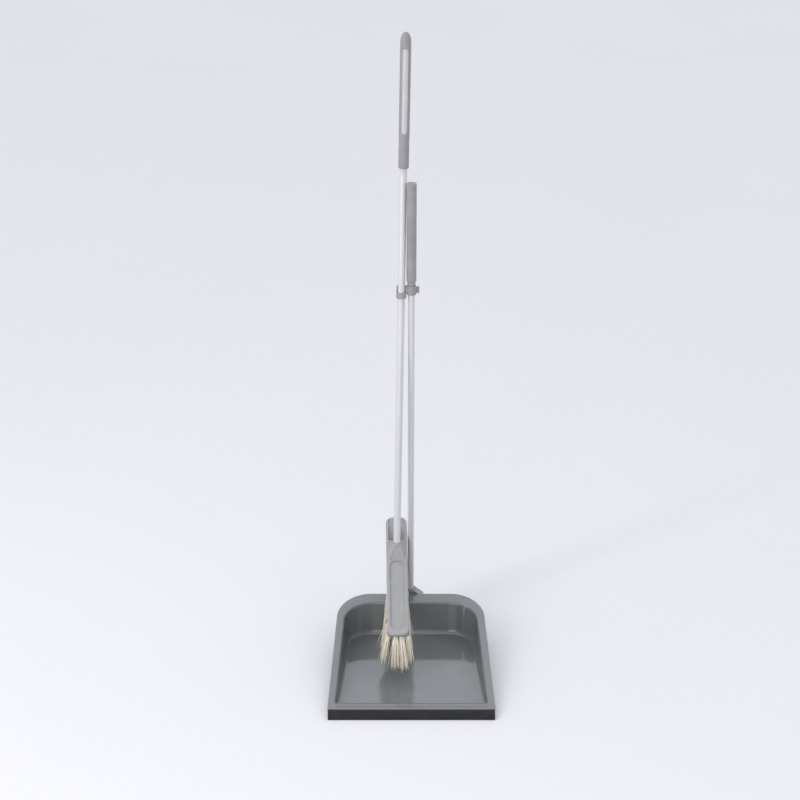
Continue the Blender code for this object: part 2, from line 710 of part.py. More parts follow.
def make_brush_head(frame, entry):
    outline = rounded_outline(HEAD_WIDTH, HEAD_LENGTH, HEAD_CORNER, 6)
    head = plate("brush_head", outline, 0, HEAD_THICKNESS, HEAD_GREY, frame)
    bevel(head, HEAD_EDGE, 3)
    panel = slab(
        "panel_recess", PANEL_WIDTH, PANEL_START, PANEL_END,
        HEAD_THICKNESS - PANEL_DEPTH, HEAD_THICKNESS + 0.01, PANEL_WIDTH * 0.42, frame,
    )
    boolean(head, "DIFFERENCE", panel, toe_undercut(frame))
    for side, name in ((-1, "left_pocket"), (1, "right_pocket")):
        far_end = frame @ Matrix.Translation((side * POCKET_OFFSET, POCKET_END, HEAD_THICKNESS))
        tilted = far_end @ Matrix.Rotation(POCKET_SLOPE, 4, "X")
        length = POCKET_END - POCKET_START
        pocket = slab(name, POCKET_WIDTH, -length, 0, -POCKET_DEPTH, 0.012, 0.003, tilted)
        boolean(head, "DIFFERENCE", pocket)
    pole = brush_pole_frame()
    socket = cylinder(
        "head_socket", HEAD_SOCKET_BASE_RADIUS, entry - 0.009, entry + HEAD_SOCKET_RISE, 28,
        frame=pole, top_radius=HEAD_SOCKET_TOP_RADIUS,
    )
    bore = cylinder(
        "head_bore", BRUSH_POLE_RADIUS + GAP, entry - HEAD_SOCKET_DEPTH, entry + 0.03, 28,
        frame=pole,
    )
    boolean(head, "UNION", socket, socket_ramp(frame, entry))
    boolean(head, "DIFFERENCE", bore)
    for number, across in enumerate(BRISTLE_ROWS, 1):
        half = TUFT_THICKNESS / 2 + GAP
        groove = box(
            f"tuft_groove_{number}",
            (across - half, BRISTLE_START - GAP, -0.01),
            (across + half, BRISTLE_END + GAP, BRISTLE_ROOT + GAP),
            frame=frame,
        )
        boolean(head, "DIFFERENCE", groove)
    return head


def bristle_section(along, across, notch):
    """Corners of one cut across a row, from the root down the left side and up the right."""
    flare = SIDE_FLARE[0] if abs(across) > OUTER_ROW else SIDE_FLARE[1]
    flare *= max(0.0, 1 - along / FLARE_END) * (1 if across > 0 else -1)
    fan = tan(TOE_FAN * max(0.0, 1 - (along - BRISTLE_START) / TOE_FAN_REACH))
    root = TUFT_THICKNESS / 2
    tip = TIP_THICKNESS / 2
    length = BRISTLE_LENGTH - notch
    levels = (
        (BRISTLE_ROOT, 0.0, root),
        (-GAP, 0.0, root),
        (-length * 0.5, 0.4, (root + tip) / 2),
        (-length, 1.0, tip),
    )
    left = []
    right = []
    for height, share, half in levels:
        middle = across + flare * share * length / BRISTLE_LENGTH
        back = along + fan * min(height, 0)
        left.append((middle - half, back, height))
        right.append((middle + half, back, height))
    return left + right[::-1]


def make_bristle_row(number, across, frame):
    """One row of tufts as a comb: joined at the root, notched between the tips."""
    bm = bmesh.new()
    pitch = (BRISTLE_END - BRISTLE_START) / TUFTS_PER_ROW
    sections = []
    for tuft in range(TUFTS_PER_ROW):
        start = BRISTLE_START + tuft * pitch
        for share, notch in ((0.0, TIP_NOTCH), (0.25, 0.0), (0.75, 0.0)):
            sections.append(bristle_section(start + share * pitch, across, notch))
    sections.append(bristle_section(BRISTLE_END, across, TIP_NOTCH))
    rings = [[bm.verts.new(corner) for corner in section] for section in sections]
    for first, second in zip(rings, rings[1:]):
        for k in range(len(first)):
            after = (k + 1) % len(first)
            bm.faces.new((first[k], first[after], second[after], second[k]))
    for end in (rings[0], rings[-1]):
        for low, high in ((0, 7), (1, 6), (2, 5)):
            bm.faces.new((end[low], end[low + 1], end[high - 1], end[high]))
    bmesh.ops.recalc_face_normals(bm, faces=bm.faces)
    return mesh_object(f"bristle_row_{number}", bm, BRISTLE_IVORY, frame)


# --- The set --------------------------------------------------------------------------------


def join_as_moving(pieces):
    """Gives the brush's pieces one parent in the clip's ring, on the line it pulls off along."""
    ring = Matrix.Translation(point(*CLIP_RING))
    brush_set = bpy.data.objects.new("brush_set", None)
    brush_set.matrix_world = ring
    PARTS.objects.link(brush_set)
    for piece in pieces:
        piece.parent = brush_set
        piece.matrix_parent_inverse = ring.inverted()


tray = make_tray()
make_tray_socket(tray)
make_lip()
make_screw()
make_pan_pole()
make_pan_grip()

head, entry = head_frame()
brush = [make_brush_head(head, entry)]
for number, across in enumerate(BRISTLE_ROWS, 1):
    brush.append(make_bristle_row(number, across, head))
brush.append(make_brush_pole(entry))
brush.append(make_thread_plug(entry))
brush.extend(make_brush_grip())
brush.append(make_clip())
join_as_moving(brush)
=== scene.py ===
"""Looks of the long-handled dustpan and brush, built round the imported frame.

Metres, +Z up, the dustpan's open front towards -Y. Each CAD node but the hidden thread plug is
replaced by a finer mesh of the same form. Places come from the frame; the sizes below shape the
fine meshes.
"""

import json
from math import atan, cos, pi, radians, sin, tan

import bmesh
import bpy
import numpy as np
from mathutils import Matrix, Vector


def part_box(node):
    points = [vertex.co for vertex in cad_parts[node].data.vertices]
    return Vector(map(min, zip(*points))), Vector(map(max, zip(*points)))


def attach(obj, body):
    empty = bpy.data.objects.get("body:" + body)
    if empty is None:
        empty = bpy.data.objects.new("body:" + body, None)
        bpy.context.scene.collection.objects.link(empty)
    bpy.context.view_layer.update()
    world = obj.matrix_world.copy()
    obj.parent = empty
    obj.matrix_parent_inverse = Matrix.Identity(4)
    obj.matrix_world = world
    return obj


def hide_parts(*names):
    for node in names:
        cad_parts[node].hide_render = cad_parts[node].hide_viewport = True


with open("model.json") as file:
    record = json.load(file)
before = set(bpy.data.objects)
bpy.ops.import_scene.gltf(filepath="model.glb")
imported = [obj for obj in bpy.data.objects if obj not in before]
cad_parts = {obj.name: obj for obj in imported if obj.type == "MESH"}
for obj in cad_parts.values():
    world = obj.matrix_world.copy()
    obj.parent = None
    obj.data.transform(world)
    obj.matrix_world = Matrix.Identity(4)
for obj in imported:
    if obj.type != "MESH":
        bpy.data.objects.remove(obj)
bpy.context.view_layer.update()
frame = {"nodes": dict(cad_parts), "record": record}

GAP = 0.0003
MILLIMETRE = 0.001
NO_RADIUS = 1e-7  # a ring narrower than this is one point
FINE = 96  # corners of a fine circle
COARSE = 64  # corners of a cutter's circle, and of a form that is softened
SHARP = 35  # degrees; a flatter edge is shaded smooth
ROUND_OFF = 0.0003  # of a tube's outer edges

# Dustpan; places along it are measured back from the front edge of the lip
WALL = 0.0022
RIM_FRONT = 0.014
RIM_BACK = 0.292
RIM_FRONT_HEIGHT = 0.012
RIM_BACK_HEIGHT = 0.068
HALF_FRONT = 0.1405
HALF_BACK = 0.1305
CORNER_START = 0.232
CORNER_RADIUS = 0.060
SKIRT = 0.005
EDGE = 0.0012
FLANGE_SIDE = 0.010
FLANGE_BACK = 0.020
FLANGE_FRONT = 0.0135
BAY_CORNER_START = 0.225
BAY_CORNER_X = 0.066
TOP_FILLET = 0.004
FLOOR_FILLET = 0.008
FILLET_SHARES = (0.2, 0.25)  # most of the wall's height that the top and floor fillets take
DRAFT = 0.06  # inward run of the bay's wall for each unit of height
SOCKET_RADIUS = 0.0105
SHOULDER_HALF = 0.023
SHOULDER_DROP = 0.012
LINE_WIDTH = 0.0013  # of the fine grooves across the front rim
LINE_DEPTH = 0.0007
LINE_PLACES = (0.0195, 0.0262)
LINE_HALF = 0.127
RIM_NOSE_RADIUS = 0.0035  # of the rim's front corners, in plan
BAY_NOSE_RADIUS = 0.0052  # the same of the bay
OUTLINE_STEPS = (10, 36, 44)  # at a front corner, along a side, round a rear corner
SHOULDER_SHARE = 0.7  # of the socket's radius: half the shoulders' width at their top
TRAY_SHARP = 40  # degrees
SOCKET_SOFTNESS = (0.0006, 4)  # voxel size, passes
CLIP_SOFTNESS = (0.00028, 4)

# Brush head
HEAD_TILT = radians(22)
HEAD_SKEW = 0.0156  # run towards -X for each unit of the head's length
HEAD_LENGTH = 0.256
HEAD_WIDTH = 0.037
HEAD_THICKNESS = 0.020
HEAD_CORNER = 0.012
TOE_UNDERCUT = (0.0092, 0.0155)  # how far back it runs, and how high up the toe
PANEL = (0.012, 0.157, 0.0255, 0.003)  # start, end, width, depth
POCKET = (0.203, 0.249, 0.0105, 0.0014)  # its depth is at the far end
POCKET_OFFSET = 0.0088
POCKET_SLOPE = radians(9.5)
BOSS_RADII = (0.0135, 0.0088)  # at its foot and at its top
BOSS_RISE = 0.0128  # its top and its foot, up the pole from near the pole's end
BOSS_FOOT = -0.009
HEAD_EDGE = 0.003
HEAD_SOFTNESS = (0.0007, 2)  # voxel size, passes
PANEL_CORNER = 0.42  # share of the panel's width
POCKET_CORNER = 0.003
RAMP_WIDTH = 0.0286  # at its foot
RAMP_TOP_SHARE = 0.8  # of the boss's upper radius: half the ramp's width where its hollow ends
RAMP_GAP = 0.0015
RAMP_SINK = 0.0004
RAMP_RIDGE = 0.0024  # width of the ridge along each side of the ramp
RAMP_HOLLOW = 0.0016  # how deep the face between the ridges lies

# Bristles
ROWS = (-0.0129, -0.0043, 0.0043, 0.0129)
TUFTS = 12
TUFT_START = 0.010
TUFT_END = 0.224
TUFT_RADIUS = 0.0023
STRAND_LENGTH = 0.070
ROOT_DEPTH = 0.0060
HOLE_RADIUS = 0.0026
HOLE_DEPTH = 0.0072
STRANDS = 120  # filaments a tuft
LOCKS = 15  # groups of filaments a tuft
LOCK_ROOT = 0.0018  # the outermost lock's distance from its hole's middle
LOCK_SPREAD = (0.0085, 0.0090)  # the same at the tips, across and along the head
LOCK_WIDTH = 0.00045  # scatter of a lock's tips
GOLDEN_TURN = radians(137.508)
STRAY_SHARE = 0.05
STRAY_WIDTH = 0.0048  # scatter of the stray filaments' tips
STRAND_RADIUS = 0.00044
TOE_FAN = radians(20)  # lean of the first tufts towards the toe
TOE_FAN_REACH = 0.045  # how far along the head that lean fades out
ROW_FLARE = (-0.0150, -0.0020, 0.0050, 0.0075)  # sideways run of each row's tips at the toe
FLARE_END = 0.150  # how far along the head that run fades out
FAR_TIP = 0.226  # no filament reaches further from the toe
STRAND_STEPS = 7
STRAND_TAPER = 0.55  # a filament's radius at the tip, as a share of that at the root
SHORTEST_LOCK = 0.90  # share of the full length
SHORTEST_STRAND = 0.95  # share of its lock's length
LOCK_JITTER = 0.06  # scatter of a lock's place, as a share of its tuft's radius
ROOT_JITTER = 0.0003  # a filament's root is at most this far from its lock's, each way
BOW = 0.0005  # typical for a filament, at half its length
SPLAY = 0.65  # below 1, a tuft opens quickly near its root
FAR_SPREAD = 0.4  # sideways spread far from the toe, as a share of that at the toe
SEED = 7

# Camera and light
FLOOR_HALF = 40
FLOOR_LEVEL = -0.0002
CAMERA_PLACE = (-0.0190, -2.78434, 1.837)
CAMERA_PITCH = radians(64.5)
LENS = 85
SENSOR = 36
ROOM_BRIGHT_WAY = (0, 0.55, 0.83)
ROOM_BRIGHT_FROM = 0.9  # cosine of the angle to that way from which the room is at its brightest
ROOM_DIM = (0.80, 0.80, 0.81, 1)
ROOM_BRIGHT = (1.36, 1.40, 1.51, 1)
LIGHT_AIM = (0, 0.05, 0.35)
SOFTBOXES = (  # name, azimuth, distance, height, width, tall, power
    ("key_left", -56, 2.3, 1.5, 0.30, 1.5, 21),
    ("fill_right", 50, 2.6, 1.6, 0.5, 1.2, 3),
    ("fill_front", -14, 2.5, 0.7, 1.2, 1.2, 12),
)


# --- Shapes -------------------------------------------------------------------------------


def new_object(name, bm, matrix=None, angle=SHARP):
    mesh = bpy.data.meshes.new(name)
    bm.to_mesh(mesh)
    bm.free()
    if matrix:
        mesh.transform(matrix)
    mesh.shade_smooth()
    mesh.set_sharp_from_angle(angle=radians(angle))
    obj = bpy.data.objects.new(name, mesh)
    bpy.context.scene.collection.objects.link(obj)
    return obj


def turned(name, profile, segments=FINE, matrix=None, deep=1.0, closed=False):
    """A profile of (radius, height) points turned about Z; deep stretches it along Y.

    A closed profile, such as a tube's, also joins its last point to its first.
    """
    turns = [2 * pi * k / segments for k in range(segments)]
    bm = bmesh.new()
    rings = []
    for radius, height in profile:
        if radius < NO_RADIUS:
            rings.append([bm.verts.new((0, 0, height))])
            continue
        spots = [(radius * cos(t), deep * radius * sin(t), height) for t in turns]
        rings.append([bm.verts.new(spot) for spot in spots])
    if closed:
        rings.append(rings[0])
    for first, second in zip(rings, rings[1:]):
        for k in range(segments):
            after = (k + 1) % segments
            corners = [first[k % len(first)], first[after % len(first)]]
            corners += [second[after % len(second)], second[k % len(second)]]
            unique = list(dict.fromkeys(corners))
            if len(unique) > 2:
                bm.faces.new(unique)
    bmesh.ops.recalc_face_normals(bm, faces=bm.faces)
    return new_object(name, bm, matrix)


def tube(name, outer, inner, low, high, matrix):
    """An open tube whose outer edges are slightly rounded."""
    side = outer - ROUND_OFF
    top = high - ROUND_OFF
    steps = [radians(a) for a in (0, 30, 60, 90)]
    upper = [(side + ROUND_OFF * cos(a), top + ROUND_OFF * sin(a)) for a in steps]
    foot = [(r, low + high - z) for r, z in reversed(upper)]
    profile = foot + upper + [(inner, high), (inner, low)]
    return turned(name, profile, matrix=matrix, closed=True)


def plate(name, outline, low, high, matrix=None):
    bm = bmesh.new()
    base = bm.faces.new([bm.verts.new((x, y, low)) for x, y in outline])
    raised = bmesh.ops.extrude_face_region(bm, geom=[base])["geom"]
    top = [v for v in raised if isinstance(v, bmesh.types.BMVert)]
    bmesh.ops.translate(bm, vec=(0, 0, high - low), verts=top)
    bmesh.ops.recalc_face_normals(bm, faces=bm.faces)
    return new_object(name, bm, matrix)


def rounded(width, start, end, radius, steps=12):
    """Outline of a rectangle with round corners, from Y = start to Y = end."""
    corners = (
        (width / 2 - radius, start + radius, -90),
        (width / 2 - radius, end - radius, 0),
        (radius - width / 2, end - radius, 90),
        (radius - width / 2, start + radius, 180),
    )
    outline = []
    for x, y, first in corners:
        for step in range(steps + 1):
            turn = radians(first + 90 * step / steps)
            outline.append((x + radius * cos(turn), y + radius * sin(turn)))
    return outline


def cone(name, low_radius, high_radius, low, high, matrix):
    profile = [(0, high), (high_radius, high), (low_radius, low), (0, low)]
    return turned(name, profile, COARSE, matrix)


def use(obj, kind, **values):
    modifier = obj.modifiers.new(kind.lower(), kind)
    for key, value in values.items():
        setattr(modifier, key, value)
    return modifier


def apply_all(obj):
    """Replaces the object's mesh by what its modifiers make of it."""
    bpy.context.view_layer.update()
    evaluated = obj.evaluated_get(bpy.context.evaluated_depsgraph_get())
    mesh = bpy.data.meshes.new_from_object(evaluated)
    obj.modifiers.clear()
    obj.data = mesh
    return obj


def combine(obj, operation, *others):
    for other in others:
        use(obj, "BOOLEAN", operation=operation, object=other, solver="EXACT")
    apply_all(obj)
    for other in others:
        bpy.data.objects.remove(other, do_unlink=True)
    return obj


def soften(obj, voxel, passes):
    """Remeshes a joined form evenly and relaxes it, so that its edges turn to small fillets."""
    use(obj, "REMESH", mode="VOXEL", voxel_size=voxel, use_smooth_shade=True)
    use(obj, "SMOOTH", factor=0.5, iterations=passes)
    return apply_all(obj)


# --- Places taken from the frame ----------------------------------------------------------


LIP_LOW, LIP_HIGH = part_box("rubber_lip")
LIP_FRONT = LIP_LOW.y
PAN_POLE_LOW, PAN_POLE_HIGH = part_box("pan_pole")
PAN_POLE_RADIUS = (PAN_POLE_HIGH.x - PAN_POLE_LOW.x) / 2


def behind(distance):
    """World Y of a distance behind the lip's front edge."""
    return LIP_FRONT + distance


def pole_frame(node):
    """Z along the pole's axis and its origin at the pole's lower end; also the pole's length."""
    mesh = frame["nodes"][node].data
    points = np.array([v.co for v in mesh.vertices])
    middle = (points[:, 2].min() + points[:, 2].max()) / 2
    low = Vector(points[points[:, 2] < middle].mean(0))
    high = Vector(points[points[:, 2] >= middle].mean(0))
    up = (high - low).normalized()
    side = Vector((0, 1, 0)).cross(up).normalized()
    turn = Matrix((side, up.cross(side), up)).transposed().to_4x4()
    return Matrix.Translation(low) @ turn, (high - low).length


def straight_frame(node):
    """An upright frame on the ground under the middle of a node's box, and that box."""
    low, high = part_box(node)
    return Matrix.Translation(((low.x + high.x) / 2, (low.y + high.y) / 2, 0)), low, high


# --- Materials ----------------------------------------------------------------------------


class Paint:
    """A Principled material and a few helpers for the nodes that drive it."""

    def __init__(self, name, roughness, **sockets):
        self.made = bpy.data.materials.new(name)
        self.made.use_nodes = True
        self.nodes = self.made.node_tree.nodes
        self.links = self.made.node_tree.links
        self.shader = self.nodes["Principled BSDF"]
        self.shader.inputs["Roughness"].default_value = roughness
        for socket, value in sockets.items():
            self.shader.inputs[socket.replace("_", " ")].default_value = value
        self.place = self.nodes.new("ShaderNodeTexCoord").outputs["Object"]

    def noise(self, scale, detail, stretch=(1, 1, 1)):
        mapping = self.nodes.new("ShaderNodeMapping")
        mapping.inputs["Scale"].default_value = stretch
        self.links.new(self.place, mapping.inputs["Vector"])
        texture = self.nodes.new("ShaderNodeTexNoise")
        texture.inputs["Scale"].default_value = scale
        texture.inputs["Detail"].default_value = detail
        texture.inputs["Roughness"].default_value = 0.55
        self.links.new(mapping.outputs["Vector"], texture.inputs["Vector"])
        return texture.outputs["Fac"]

    def ramp(self, source, stops):
        ramp = self.nodes.new("ShaderNodeValToRGB")
        ramp.color_ramp.elements[0].position = stops[0][0]
        ramp.color_ramp.elements[0].color = (*stops[0][1], 1)
        ramp.color_ramp.elements[1].position = stops[-1][0]
        ramp.color_ramp.elements[1].color = (*stops[-1][1], 1)
        for position, color in stops[1:-1]:
            ramp.color_ramp.elements.new(position).color = (*color, 1)
        self.links.new(source, ramp.inputs["Fac"])
        return ramp.outputs["Color"]

    def span(self, source, low, high):
        """Maps a 0.3 to 0.7 texture value on low to high."""
        node = self.nodes.new("ShaderNodeMapRange")
        node.inputs["From Min"].default_value = 0.3
        node.inputs["From Max"].default_value = 0.7
        node.inputs["To Min"].default_value = low
        node.inputs["To Max"].default_value = high
        self.links.new(source, node.inputs["Value"])
        return node.outputs["Result"]

    def color(self, source):
        self.links.new(source, self.shader.inputs["Base Color"])

    def roughness(self, source):
        self.links.new(source, self.shader.inputs["Roughness"])

    def bump(self, source, height, before=None):
        node = self.nodes.new("ShaderNodeBump")
        node.inputs["Strength"].default_value = 1.0
        node.inputs["Distance"].default_value = height
        self.links.new(source, node.inputs["Height"])
        if before:
            self.links.new(before, node.inputs["Normal"])
        self.links.new(node.outputs["Normal"], self.shader.inputs["Normal"])
        return node.outputs["Normal"]


def mottled(paint, color, amount, scale, stretch=(1, 1, 1)):
    """Colour that varies a little round one shade, as moulded or coated surfaces do."""
    dark = tuple(c * (1 - amount) for c in color)
    light = tuple(c * (1 + amount) for c in color)
    paint.color(paint.ramp(paint.noise(scale, 3, stretch), ((0.35, dark), (0.65, light))))


def tray_paint():
    paint = Paint("tray_gloss_plastic", 0.1, IOR=1.6)
    mottled(paint, (0.141, 0.149, 0.152), 0.035, 18)
    paint.roughness(paint.span(paint.noise(60, 5), 0.07, 0.12))
    soft_wave = paint.bump(paint.noise(9, 2), 0.00022)
    scratches = paint.noise(420, 2, (1, 0.06, 1))
    paint.bump(scratches, 0.000006, soft_wave)
    return paint.made


def lip_paint():
    paint = Paint("lip_black_rubber", 0.6, IOR=1.35)
    mottled(paint, (0.010, 0.010, 0.011), 0.25, 90)
    paint.roughness(paint.span(paint.noise(140, 4), 0.5, 0.72))
    paint.bump(paint.noise(1300, 3), 0.00004)
    return paint.made


def pole_paint():
    paint = Paint("pole_satin_coating", 0.4, Metallic=0.12, Coat_Weight=0.25, Coat_Roughness=0.3)
    mottled(paint, (0.535, 0.535, 0.553), 0.03, 40, (1, 1, 0.15))
    paint.roughness(paint.span(paint.noise(160, 3), 0.33, 0.46))
    paint.bump(paint.noise(1100, 2), 0.000035)
    return paint.made


def grip_paint():
    paint = Paint("grip_soft_touch", 0.55, IOR=1.45)
    mottled(paint, (0.262, 0.260, 0.267), 0.05, 70)
    paint.roughness(paint.span(paint.noise(200, 4), 0.48, 0.62))
    paint.bump(paint.noise(2600, 3), 0.00004)
    return paint.made


def inlay_paint():
    paint = Paint("grip_gloss_inlay", 0.12, IOR=1.5)
    mottled(paint, (0.465, 0.465, 0.478), 0.02, 30)
    paint.roughness(paint.span(paint.noise(80, 3), 0.09, 0.15))
    return paint.made


def head_paint():
    paint = Paint("head_satin_plastic", 0.42, IOR=1.47)
    mottled(paint, (0.279, 0.277, 0.281), 0.04, 55)
    paint.roughness(paint.span(paint.noise(150, 4), 0.36, 0.48))
    paint.bump(paint.noise(1900, 3), 0.00003)
    return paint.made


def bristle_paint():
    """Ivory filaments, each a little different in shade."""
    paint = Paint("bristle_ivory", 0.5, IOR=1.5)
    shade = paint.noise(900, 2, (1, 1, 0.03))
    stops = ((0.3, (0.90, 0.81, 0.64)), (0.5, (0.98, 0.92, 0.79)), (0.72, (0.99, 0.97, 0.89)))
    paint.color(paint.ramp(shade, stops))
    paint.roughness(paint.span(paint.noise(700, 2), 0.42, 0.6))
    return paint.made


def steel_paint():
    paint = Paint("screw_zinc_steel", 0.32, Metallic=1.0)
    mottled(paint, (0.55, 0.55, 0.56), 0.08, 500)
    paint.roughness(paint.span(paint.noise(900, 4), 0.24, 0.42))
    paint.bump(paint.noise(2400, 2, (1, 1, 0.2)), 0.00002)
    return paint.made


PAINTS = {
    "tray": tray_paint(),
    "lip": lip_paint(),
    "pole": pole_paint(),
    "grip": grip_paint(),
    "grip_core": inlay_paint(),
    "head": head_paint(),
    "bristle": bristle_paint(),
    "screw": steel_paint(),
}
SLOT_OF = {row["node"]: row["material_slot"] for row in frame["record"]["subparts"]}


def stand_for(obj, body, node):
    """The finished piece takes its node's place, body and material."""
    obj.data.materials.clear()
    obj.data.materials.append(PAINTS[SLOT_OF[node]])
    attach(obj, body)
    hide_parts(node)
    return obj


# --- Dustpan ------------------------------------------------------------------------------


def rim_height(distance):
    slope = (RIM_BACK_HEIGHT - RIM_FRONT_HEIGHT) / (RIM_BACK - RIM_FRONT)
    return RIM_FRONT_HEIGHT + slope * (distance - RIM_FRONT)


def arc(center, radii, start, end, steps):
    found = []
    for step in range(steps + 1):
        turn = radians(start + (end - start) * step / steps)
        place = Vector((center[0] + radii[0] * cos(turn), center[1] + radii[1] * sin(turn)))
        found.append((place, Vector((cos(turn) / radii[0], sin(turn) / radii[1])).normalized()))
    return found


def along(first, last, steps):
    """Places and normals spaced evenly between two ends, both left out."""
    shares = [step / steps for step in range(1, steps)]
    return [(first[0].lerp(last[0], s), first[1].lerp(last[1], s).normalized()) for s in shares]


def tray_outline(front, half_front, half_back, back, corner, corner_start, front_radius):
    """The tray's plan, anticlockwise from the front right corner."""
    taper = Matrix.Rotation(atan((half_front - half_back) / (corner_start - front)), 2)
    at_corner, at_side, at_rear = OUTLINE_STEPS
    center = (half_front - front_radius, front + front_radius)
    right = arc(center, (front_radius, front_radius), -90, 0, at_corner)
    radii = (half_back - corner, back - corner_start)
    rear = arc((corner, corner_start), radii, 0, 90, at_rear)
    right[-1] = (right[-1][0], taper @ right[-1][1])
    half = right + along(right[-1], rear[0], at_side) + rear
    mirrored = [(Vector((-p.x, p.y)), Vector((-n.x, n.y))) for p, n in reversed(half)]
    return half + mirrored


def rim_ring(outline, inset, drop):
    """The outline drawn in by inset, at drop below the sloping rim."""
    spots = [place - normal * inset for place, normal in outline]
    return [(spot.x, spot.y, rim_height(spot.y) - drop) for spot in spots]


def bay_profile(height):
    """The bay's wall as (inset, rise) points: its upper face, and its underside."""
    top = min(TOP_FILLET, FILLET_SHARES[0] * height)
    low = min(FLOOR_FILLET, FILLET_SHARES[1] * height)
    foot = top + DRAFT * (height - top - low) + low
    turns = [radians(90 * k / 9) for k in range(10)]
    upper = [(top * sin(t), height - top + top * cos(t)) for t in turns]
    wall = [upper[-1], (foot - low, low)]
    between = [Vector(wall[0]).lerp(Vector(wall[1]), k / 5) for k in range(1, 5)]
    upper += [tuple(p) for p in between]
    upper += [(foot - low * cos(t), low - low * sin(t)) for t in turns]
    outside = low + WALL
    under = [(foot - outside * cos(t), low - outside * sin(t)) for t in reversed(turns)]
    under.append((top - WALL, height - WALL))
    return upper, under


def tray_shell():
    """The pan: outer edge, flange, bay, floor and underside as one closed skin."""
    outer = tray_outline(
        RIM_FRONT, HALF_FRONT, HALF_BACK, RIM_BACK, HALF_BACK - CORNER_RADIUS, CORNER_START,
        RIM_NOSE_RADIUS,
    )
    inner = tray_outline(
        RIM_FRONT + FLANGE_FRONT, HALF_FRONT - FLANGE_SIDE, HALF_BACK - FLANGE_SIDE,
        RIM_BACK - FLANGE_BACK, BAY_CORNER_X, BAY_CORNER_START, BAY_NOSE_RADIUS,
    )
    upper_rows = []
    under_rows = []
    for place, normal in inner:
        upper, under = bay_profile(rim_height(place.y) - WALL)
        for rows, profile in ((upper_rows, upper), (under_rows, under)):
            spots = [(place - normal * inset, WALL + rise) for inset, rise in profile]
            rows.append([(spot.x, spot.y, rise) for spot, rise in spots])
    upper = [list(ring) for ring in zip(*upper_rows)]
    under = [list(ring) for ring in zip(*under_rows)]
    turns = [radians(90 * k / 5) for k in range(6)]
    edge = [rim_ring(outer, 0, SKIRT)]
    edge += [rim_ring(outer, EDGE - EDGE * cos(t), EDGE - EDGE * sin(t)) for t in turns]
    inside = [rim_ring(outer, WALL, WALL), rim_ring(outer, WALL, SKIRT)]
    bm = bmesh.new()
    rings = []
    for ring in edge + upper + under + inside:
        rings.append([bm.verts.new((x, behind(y), z)) for x, y, z in ring])
    rings.append(rings[0])
    floor = len(edge) + len(upper)
    for number, (first, second) in enumerate(zip(rings, rings[1:]), 1):
        if number == floor:
            bm.faces.new(first)
            bm.faces.new(second[::-1])
            continue
        for k in range(len(first)):
            after = (k + 1) % len(first)
            bm.faces.new((first[k], first[after], second[after], second[k]))
    bmesh.ops.recalc_face_normals(bm, faces=bm.faces)
    return new_object("dustpan_tray_shell", bm, angle=TRAY_SHARP)


def front_lines():
    """Cutters for the fine grooves that run across the front rim."""
    slope = atan(rim_height(1.0) - rim_height(0.0))
    above = 0.003
    half = LINE_WIDTH / 2
    cutters = []
    for place in LINE_PLACES:
        outline = [(-LINE_HALF, -half), (LINE_HALF, -half), (LINE_HALF, half), (-LINE_HALF, half)]
        matrix = Matrix.Translation((0, behind(place), rim_height(place)))
        matrix = matrix @ Matrix.Rotation(slope, 4, "X")
        cutters.append(plate("line", outline, -LINE_DEPTH, above, matrix))
    return cutters


def make_tray():
    """The pan with the socket joined on behind; the socket's own edges are softened first."""
    axis, low, _ = straight_frame("pan_pole")
    center_y = axis.translation.y
    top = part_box("dustpan_tray")[1].z
    socket = cone("tray_socket", SOCKET_RADIUS, SOCKET_RADIUS, 0, top, axis)
    upright = Matrix.Translation((0, behind(RIM_BACK) - WALL / 2, 0))
    upright = upright @ Matrix.Rotation(pi / 2, 4, "X")
    reach = SOCKET_RADIUS * SHOULDER_SHARE
    outline = [
        (-SHOULDER_HALF, top - 2 * SHOULDER_DROP),
        (SHOULDER_HALF, top - 2 * SHOULDER_DROP),
        (SHOULDER_HALF, top - SHOULDER_DROP),
        (reach, top - GAP),
        (-reach, top - GAP),
        (-SHOULDER_HALF, top - SHOULDER_DROP),
    ]
    depth = center_y - behind(RIM_BACK) + reach
    shoulders = plate("shoulders", outline, -depth, 0.0, upright)
    combine(socket, "UNION", shoulders)
    soften(socket, *SOCKET_SOFTNESS)
    shell = tray_shell()
    radius = PAN_POLE_RADIUS + GAP
    above = 0.01
    bore = cone("bore", radius, radius, low.z - GAP, top + above, axis)
    combine(shell, "UNION", socket)
    combine(shell, "DIFFERENCE", bore, *front_lines())
    shell.name = "tray"
    shell.data.shade_smooth()
    shell.data.set_sharp_from_angle(angle=radians(TRAY_SHARP))
    return stand_for(shell, "dustpan", "dustpan_tray")


def make_lip():
    """The nose is one smooth curve, with a small step where it meets the rim."""
    height = LIP_HIGH.z
    reach = RIM_FRONT - GAP
    back = LIP_HIGH.y - LIP_LOW.y
    skirt_foot = RIM_FRONT_HEIGHT - SKIRT - GAP
    steps = 16
    nose_reach = reach * 0.93
    nose_power = 1.15
    nose = []
    for step in range(steps + 1):
        turn = radians(90 * step / steps)
        nose.append((nose_reach * (1 - cos(turn)), height * sin(turn) ** nose_power))
    outline = [(back, 0.0), (back, skirt_foot), (reach, skirt_foot), (reach, height)]
    outline += nose[::-1]
    side = Matrix(((0, 0, 1, 0), (1, 0, 0, LIP_FRONT), (0, 1, 0, 0), (0, 0, 0, 1)))
    lip = plate("lip", outline, LIP_LOW.x, LIP_HIGH.x, side)
    use(lip, "BEVEL", width=0.0004, segments=2, limit_method="ANGLE", angle_limit=radians(45))
    apply_all(lip)
    return stand_for(lip, "dustpan", "rubber_lip")


